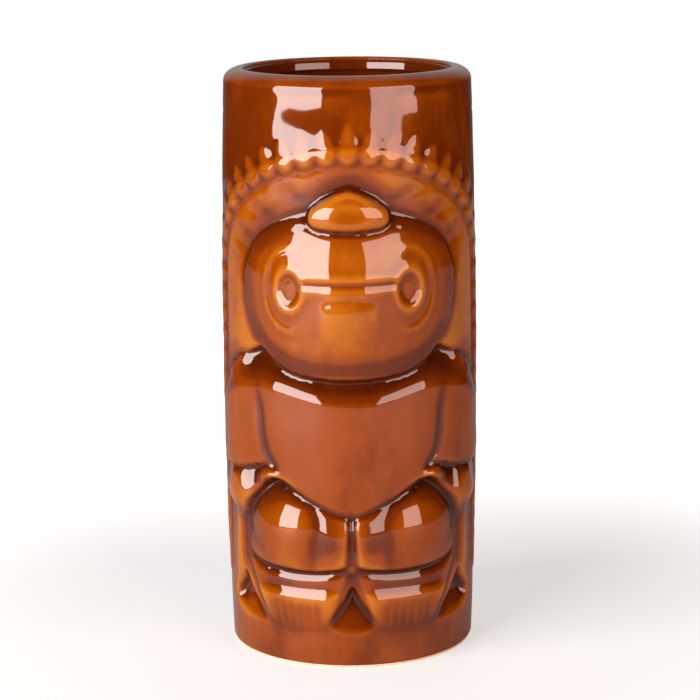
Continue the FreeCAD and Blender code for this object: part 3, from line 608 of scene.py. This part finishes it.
def inside_rings():
    """Rings of the glazed inside, from under the rim down to the middle of the floor."""
    r, top = lip_rings()[-1]
    slope = math.tan(math.radians(LIP_FLARE))
    rings = [(r - slope * d, top - d) for d in (0.2, 1.0, 1.9, 2.7)]
    ledge = rings[-1][0]
    rings += [(ledge - 0.02, top - 2.95), (ledge + 0.12, top - 3.2), (ledge + 0.5, top - 3.4),
              (ledge + 0.75, top - 4.0)]
    for z in np.linspace(top - 6, FLOOR_TOP + FLOOR_CORNER, 26):
        rings.append((barrel(z) - WALL, z))
    corner = barrel(FLOOR_TOP) - WALL
    for turn in np.linspace(15, 90, 6):
        a = math.radians(turn)
        rings.append((corner - FLOOR_CORNER * (1 - math.cos(a)),
                      FLOOR_TOP + FLOOR_CORNER * (1 - math.sin(a))))
    rings += [(18, FLOOR_TOP), (9, FLOOR_TOP), (0.5, FLOOR_TOP)]
    return rings


def seat_rings():
    """Rings of clay under the inside glaze, from the rim down to the middle of the floor."""
    return [(r + GLAZE if r > 2 else r, z - (GLAZE if z < 12 else 0)) for r, z in inside_rings()]


def ring_points(rings, angles):
    """Positions of rings of constant radius, as a grid of rows by columns."""
    turn = np.radians(angles)
    return np.array([[(r * math.sin(t), -r * math.cos(t), z) for t in turn] for r, z in rings])


def grid_normals(points):
    """Smooth outward normals of a grid that is closed sideways."""
    across = np.roll(points, -1, 1) - np.roll(points, 1, 1)
    up = np.gradient(points, axis=0)
    normal = np.cross(across, up)
    return normal / (np.linalg.norm(normal, axis=2, keepdims=True) + 1e-12)


def quads(mask, base, columns, flip=False):
    """Four-cornered faces of the masked cells of a grid whose vertices start at `base`."""
    i, j = np.nonzero(mask)
    k = (j + 1) % columns
    corners = [i * columns + j, i * columns + k, (i + 1) * columns + k, (i + 1) * columns + j]
    faces = np.stack(corners, 1) + base
    return faces[:, ::-1] if flip else faces


def walls(mask, outer, inner, columns):
    """Faces that join the outer and the inner grid along the edge of the masked cells."""
    sides = [(np.roll(mask, 1, 1), (0, 0), (1, 0)), (np.roll(mask, -1, 1), (1, 1), (0, 1)),
             (np.vstack([mask[:1], mask[:-1]]), (0, 1), (0, 0)),
             (np.vstack([mask[1:], mask[-1:]]), (1, 0), (1, 1))]
    found = []
    for beside, start, end in sides:
        i, j = np.nonzero(mask & ~beside)
        first = (i + start[0]) * columns + (j + start[1]) % columns
        second = (i + end[0]) * columns + (j + end[1]) % columns
        found.append(np.stack([first + outer, second + outer, second + inner, first + inner], 1))
    return np.concatenate(found)


def cap(start, columns, flip=False):
    """Four-cornered faces that close a small ring with an even number of vertices."""
    k = np.arange(columns // 2 - 1)
    faces = np.stack([k, k + 1, columns - 2 - k, columns - 1 - k], 1) + start
    return faces[:, ::-1] if flip else faces


def make_mesh(name, points, faces, normals, pool_and_shade, materials, slots=None):
    """A mesh object in metres from arrays, keeping only the vertices that its faces use.

    A vertex whose normal is given as zero takes its shading from the faces round it.
    """
    used, compact = np.unique(faces, return_inverse=True)
    compact = compact.reshape(faces.shape)
    mesh = bpy.data.meshes.new(name)
    mesh.vertices.add(len(used))
    mesh.vertices.foreach_set("co", (points[used] / 1000).astype(np.float32).ravel())
    mesh.loops.add(compact.size)
    mesh.loops.foreach_set("vertex_index", compact.ravel().astype(np.int32))
    mesh.polygons.add(len(compact))
    mesh.polygons.foreach_set("loop_start", np.arange(0, compact.size, 4, dtype=np.int32))
    for material in materials:
        mesh.materials.append(material)
    if slots is not None:
        mesh.polygons.foreach_set("material_index", slots.astype(np.int32))
    mesh.update(calc_edges=True)
    # the attribute carries glaze pooling and painted shade to the material
    attribute = mesh.attributes.new("pool_and_shade", "FLOAT", "POINT")
    attribute.data.foreach_set("value", pool_and_shade[used].astype(np.float32))
    mesh.shade_smooth()
    mesh.normals_split_custom_set(normals.reshape(-1, 3).tolist())
    piece = bpy.data.objects.new(name, mesh)
    bpy.context.scene.collection.objects.link(piece)
    return piece


# ------------------------------------------------------------------ materials
def new_material(name):
    """A node material and its Principled shader."""
    material = bpy.data.materials.new(name)
    material.use_nodes = True
    return material, material.node_tree, material.node_tree.nodes["Principled BSDF"]


def add_node(tree, kind, **settings):
    """Adds a shader node with its settings and input values."""
    node = tree.nodes.new(kind)
    for key, value in settings.items():
        if hasattr(node, key):
            setattr(node, key, value)
        else:
            node.inputs[key.replace("_", " ")].default_value = value
    return node


def ramp(tree, source, stops):
    """A colour ramp over a value, from (position, colour) stops."""
    node = tree.nodes.new("ShaderNodeValToRGB")
    node.color_ramp.interpolation = "EASE"
    while len(node.color_ramp.elements) < len(stops):
        node.color_ramp.elements.new(0.5)
    for element, (position, colour) in zip(node.color_ramp.elements, stops):
        element.position = position
        element.color = (*colour, 1)
    tree.links.new(source, node.inputs["Fac"])
    return node.outputs["Color"]


def sum_up(tree, *terms):
    """Adds values, each a pair of a socket and its factor, to a first plain number."""
    total, sockets = terms[0], terms[1:]
    for socket, factor in sockets:
        node = add_node(tree, "ShaderNodeMath", operation="MULTIPLY_ADD")
        tree.links.new(socket, node.inputs[0])
        node.inputs[1].default_value = factor
        if isinstance(total, float):
            node.inputs[2].default_value = total
        else:
            tree.links.new(total, node.inputs[2])
        total = node.outputs[0]
    return total


GOLD = (0.34, 0.100, 0.004)
HONEY = (0.205, 0.039, 0.0008)
AMBER = (0.100, 0.0145, 0.0005)
CHESTNUT = (0.022, 0.0028, 0.0005)

# unevenness of the glaze, from broad clouds to specks: scale, detail, squeeze upwards, weight
GLAZE_NOISE = [(24, 3.0, 0.5, 0.44), (110, 3.0, 0.35, 0.26), (300, 3.0, 0.8, 0.12),
               (1700, 2.0, 1.0, 0.12)]


def glaze_material(name, painted_shade):
    """Translucent honey glaze, very glossy: thin and golden over edges, dark in hollows, and darkened
    further by the painted shade carried in the pool_and_shade attribute and by the painted_shade
    amount.
    """
    material, tree, shader = new_material(name)
    place = add_node(tree, "ShaderNodeTexCoord").outputs["Object"]
    pool_and_shade = add_node(tree, "ShaderNodeAttribute", attribute_name="pool_and_shade").outputs["Fac"]
    waves = []
    for scale, detail, squeeze, weight in GLAZE_NOISE:
        mapping = add_node(tree, "ShaderNodeMapping", Scale=(1, 1, squeeze))
        noise = add_node(tree, "ShaderNodeTexNoise", Scale=scale, Detail=detail, Roughness=0.55)
        tree.links.new(place, mapping.inputs["Vector"])
        tree.links.new(mapping.outputs[0], noise.inputs["Vector"])
        waves.append((noise.outputs["Fac"], weight))
    # glaze pooling, painted shade and noise summed into one darkness for the colour ramp
    thickness_and_shade = sum_up(tree, painted_shade - 0.10, (pool_and_shade, 1.0), *waves)
    colour = ramp(tree, thickness_and_shade, [(0.0, GOLD), (0.28, HONEY), (0.52, AMBER), (0.95, CHESTNUT)])
    tree.links.new(colour, shader.inputs["Base Color"])
    bump = add_node(tree, "ShaderNodeBump", Strength=0.05, Distance=0.001)
    tree.links.new(waves[1][0], bump.inputs["Height"])
    tree.links.new(bump.outputs["Normal"], shader.inputs["Normal"])
    shader.inputs["Roughness"].default_value = 0.045
    shader.inputs["IOR"].default_value = 1.52
    return material


def bare_clay_material():
    """Unglazed fired clay at the foot: pale buff, fine grained, matt."""
    material, tree, shader = new_material("bare_clay")
    place = add_node(tree, "ShaderNodeTexCoord").outputs["Object"]
    grain = add_node(tree, "ShaderNodeTexNoise", Scale=900.0, Detail=4.0, Roughness=0.6)
    tree.links.new(place, grain.inputs["Vector"])
    colour = ramp(tree, grain.outputs["Fac"], [(0.3, (0.62, 0.44, 0.26)), (0.7, (0.80, 0.64, 0.44))])
    tree.links.new(colour, shader.inputs["Base Color"])
    bump = add_node(tree, "ShaderNodeBump", Strength=0.3, Distance=0.0002)
    tree.links.new(grain.outputs["Fac"], bump.inputs["Height"])
    tree.links.new(bump.outputs["Normal"], shader.inputs["Normal"])
    shader.inputs["Roughness"].default_value = 0.8
    return material


# ------------------------------------------------------------------ the pieces
def finish_piece(piece, node):
    """A piece rides on the mug's body and stands for the CAD node of the same name."""
    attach(piece, "root")
    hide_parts(node)


def outside_grids():
    """The outer surface, the seats under it, the glaze depth with painted shade and the node of each
    cell.
    """
    angles, h, pool_and_shade, label = wall_field()
    columns = len(angles)
    turn = np.radians(angles)
    foot, rest = foot_rings(), lip_rings() + seat_rings()
    radius = barrel(WALL_Z)[:, None] + h
    wall = np.stack([radius * np.sin(turn), -radius * np.cos(turn),
                     np.repeat(WALL_Z[:, None], columns, 1)], 2)
    under, over = ring_points(foot, angles), ring_points(rest, angles)
    seat = ring_points([(barrel(z) - SEAT, z) for z in WALL_Z], angles)
    points = np.concatenate([under, wall, over])
    first = len(foot)
    pools_and_shade = np.zeros(points.shape[:2])
    pools_and_shade[first:first + len(WALL_Z)] = pool_and_shade
    labels = np.full((len(points) - 1, columns), "cast_shell", dtype=label.dtype)
    labels[first:first + len(WALL_Z) - 1] = label[:-1]
    return points, np.concatenate([under, seat, over]), pools_and_shade, labels


def closing_faces(mask, shell):
    """The hidden faces that close a piece behind its outer cells."""
    rows, columns = mask.shape[0] + 1, mask.shape[1]
    count = rows * columns
    behind = ~mask if shell else mask
    found = [quads(behind, count, columns, flip=not shell), walls(mask, 0, count, columns)]
    if shell:
        found += [cap(0, columns, flip=True), cap(count - columns, columns)]
    return np.concatenate(found)


def build_outside(glaze, bare):
    """The cast shell and, let into it, one closed piece for every clay form of the figure."""
    points, deep, pools_and_shade, labels = outside_grids()
    normals = grid_normals(points).reshape(-1, 3)
    both = np.concatenate([points.reshape(-1, 3), deep.reshape(-1, 3)])
    both_pools_and_shade = np.concatenate([pools_and_shade.ravel(), pools_and_shade.ravel()])
    for name in sorted(set(labels.ravel())):
        mask = labels == name
        shell = name == "cast_shell"
        outside = quads(mask, 0, mask.shape[1])
        faces = np.concatenate([outside, closing_faces(mask, shell)])
        corner_normals = np.zeros((*faces.shape, 3), np.float32)
        corner_normals[:len(outside)] = normals[outside]
        slots = np.zeros(len(faces), np.int32)
        if shell:
            row = np.nonzero(mask)[0]
            slots[:len(outside)] = (row >= BARE_RINGS[0]) & (row < BARE_RINGS[1])
        piece = make_mesh("glazed_" + name, both, faces, corner_normals, both_pools_and_shade,
                          [glaze, bare], slots)
        finish_piece(piece, name)


def build_inside(glaze):
    """The glaze skin inside: a closed bowl, from its floor up and down again behind."""
    angles = np.arange(0, 360, 2.5)
    points = ring_points(inside_rings()[::-1] + seat_rings(), angles)
    rows, columns = len(points), len(angles)
    faces = np.concatenate([quads(np.ones((rows - 1, columns), bool), 0, columns, flip=True),
                            cap(0, columns), cap((rows - 1) * columns, columns, flip=True)])
    normals = np.zeros((*faces.shape, 3), np.float32)
    piece = make_mesh("glazed_inside", points.reshape(-1, 3), faces, normals,
                      np.zeros(rows * columns), [glaze])
    finish_piece(piece, "inner_glaze")


# ------------------------------------------------------------------ light, floor and camera
SOFTBOX_WIDTH = 1.0                 # the two softboxes, in metres
SOFTBOX_HEIGHT = 0.78
SOFTBOX_MIDDLE = 0.42               # height of their middles above the table
TABLE_FRONT, TABLE_BACK, TABLE_SIDE = -0.70, 1.0, 0.78
CAMERA_PLACE = (0, -0.730, 0.2397)
CAMERA_DOWN = 11.82                 # the camera looks down by this many degrees
CAMERA_ROLL = -0.6


def softbox(name, azimuth, distance, radiance, colour):
    """An upright rectangular light that faces the mug; azimuth 0 is in front, positive right."""
    data = bpy.data.lights.new(name, "AREA")
    data.shape = "RECTANGLE"
    data.size, data.size_y = SOFTBOX_WIDTH, SOFTBOX_HEIGHT
    data.energy = radiance * SOFTBOX_WIDTH * SOFTBOX_HEIGHT * math.pi
    data.color = colour
    lamp = bpy.data.objects.new(name, data)
    a = math.radians(azimuth)
    lamp.location = (distance * math.sin(a), -distance * math.cos(a), SOFTBOX_MIDDLE)
    towards_mug = Vector((-lamp.location.x, -lamp.location.y, 0))
    lamp.rotation_euler = towards_mug.to_track_quat("-Z", "Y").to_euler()
    lamp.visible_camera = False
    bpy.context.scene.collection.objects.link(lamp)


def floor_material():
    """Matt pale grey that glows white to the camera, least of all close round the mug."""
    material, tree, shader = new_material("floor")
    shader.inputs["Base Color"].default_value = (0.485, 0.515, 0.53, 1)
    shader.inputs["Roughness"].default_value = 0.6
    shader.inputs["Specular IOR Level"].default_value = 0.2
    shader.inputs["Emission Color"].default_value = (1, 0.99, 0.98, 1)
    place = add_node(tree, "ShaderNodeTexCoord").outputs["Object"]
    away = add_node(tree, "ShaderNodeVectorMath", operation="LENGTH")
    tree.links.new(place, away.inputs[0])
    far = add_node(tree, "ShaderNodeMapRange", interpolation_type="SMOOTHSTEP",
                   From_Min=0.08, From_Max=0.30, To_Min=0.5, To_Max=1.0)
    tree.links.new(away.outputs["Value"], far.inputs["Value"])
    path = add_node(tree, "ShaderNodeLightPath")
    glow = add_node(tree, "ShaderNodeMath", operation="MULTIPLY")
    tree.links.new(path.outputs["Is Camera Ray"], glow.inputs[0])
    tree.links.new(far.outputs["Result"], glow.inputs[1])
    tree.links.new(glow.outputs[0], shader.inputs["Emission Strength"])
    return material


def build_floor():
    """A plain pale table that ends well in front of the mug."""
    mesh = bpy.data.meshes.new("floor")
    corners = [(-TABLE_SIDE, TABLE_FRONT, 0), (TABLE_SIDE, TABLE_FRONT, 0),
               (TABLE_SIDE, TABLE_BACK, 0), (-TABLE_SIDE, TABLE_BACK, 0)]
    mesh.from_pydata(corners, [], [(0, 1, 2, 3)])
    mesh.materials.append(floor_material())
    floor = bpy.data.objects.new("floor", mesh)
    bpy.context.scene.collection.objects.link(floor)


DIM_ROOM = (0.014, 0.013, 0.012)
BRIGHT_WALL = (0.5, 0.495, 0.495)


def build_world():
    """White where the camera looks past the floor; bright behind the mug and dim in front of it."""
    world = bpy.data.worlds.new("studio")
    world.use_nodes = True
    tree = world.node_tree
    tree.nodes.clear()
    out = add_node(tree, "ShaderNodeOutputWorld")
    seen = add_node(tree, "ShaderNodeBackground", Color=(1, 1, 1, 1), Strength=1.0)
    room = add_node(tree, "ShaderNodeBackground", Strength=1.0)
    mix = add_node(tree, "ShaderNodeMixShader")
    path = add_node(tree, "ShaderNodeLightPath")
    place = add_node(tree, "ShaderNodeTexCoord")
    axes = add_node(tree, "ShaderNodeSeparateXYZ")
    tree.links.new(place.outputs["Generated"], axes.inputs[0])
    behind = sum_up(tree, 0.0, (axes.outputs["Y"], 0.7), (axes.outputs["Z"], 0.6))
    glow = ramp(tree, behind, [(0.5, DIM_ROOM), (0.85, BRIGHT_WALL)])
    tree.links.new(glow, room.inputs["Color"])
    tree.links.new(path.outputs["Is Camera Ray"], mix.inputs[0])
    tree.links.new(room.outputs[0], mix.inputs[1])
    tree.links.new(seen.outputs[0], mix.inputs[2])
    tree.links.new(mix.outputs[0], out.inputs["Surface"])
    bpy.context.scene.world = world


def build_camera():
    """The photograph's viewpoint: straight in front, a little above the rim, slightly rolled."""
    data = bpy.data.cameras.new("camera")
    data.lens = 126.9
    data.sensor_width = 36.0
    data.shift_y = 0.0064
    data.clip_start, data.clip_end = 0.05, 50.0
    camera = bpy.data.objects.new("camera", data)
    camera.location = CAMERA_PLACE
    tilt = Matrix.Rotation(math.radians(90 - CAMERA_DOWN), 4, "X")
    roll = Matrix.Rotation(math.radians(CAMERA_ROLL), 4, "Z")
    camera.rotation_euler = (tilt @ roll).to_euler()
    bpy.context.scene.collection.objects.link(camera)
    bpy.context.scene.camera = camera


def main():
    """Builds the pieces, the studio and the camera."""
    glaze = glaze_material("honey_glaze", 0.0)
    # painted shade: the inside glaze is a darkened copy of the outside glaze
    inside = glaze_material("honey_glaze_inside_shaded", 0.25)
    bare = bare_clay_material()
    build_outside(glaze, bare)
    build_inside(inside)
    build_floor()
    build_world()
    softbox("softbox_left", azimuth=-47, distance=1.15, radiance=13.4, colour=(1.0, 0.89, 0.85))
    softbox("softbox_right", azimuth=42, distance=1.25, radiance=7.0, colour=(1.0, 0.74, 0.64))
    build_camera()
    bpy.context.scene.view_settings.view_transform = "Standard"


main()
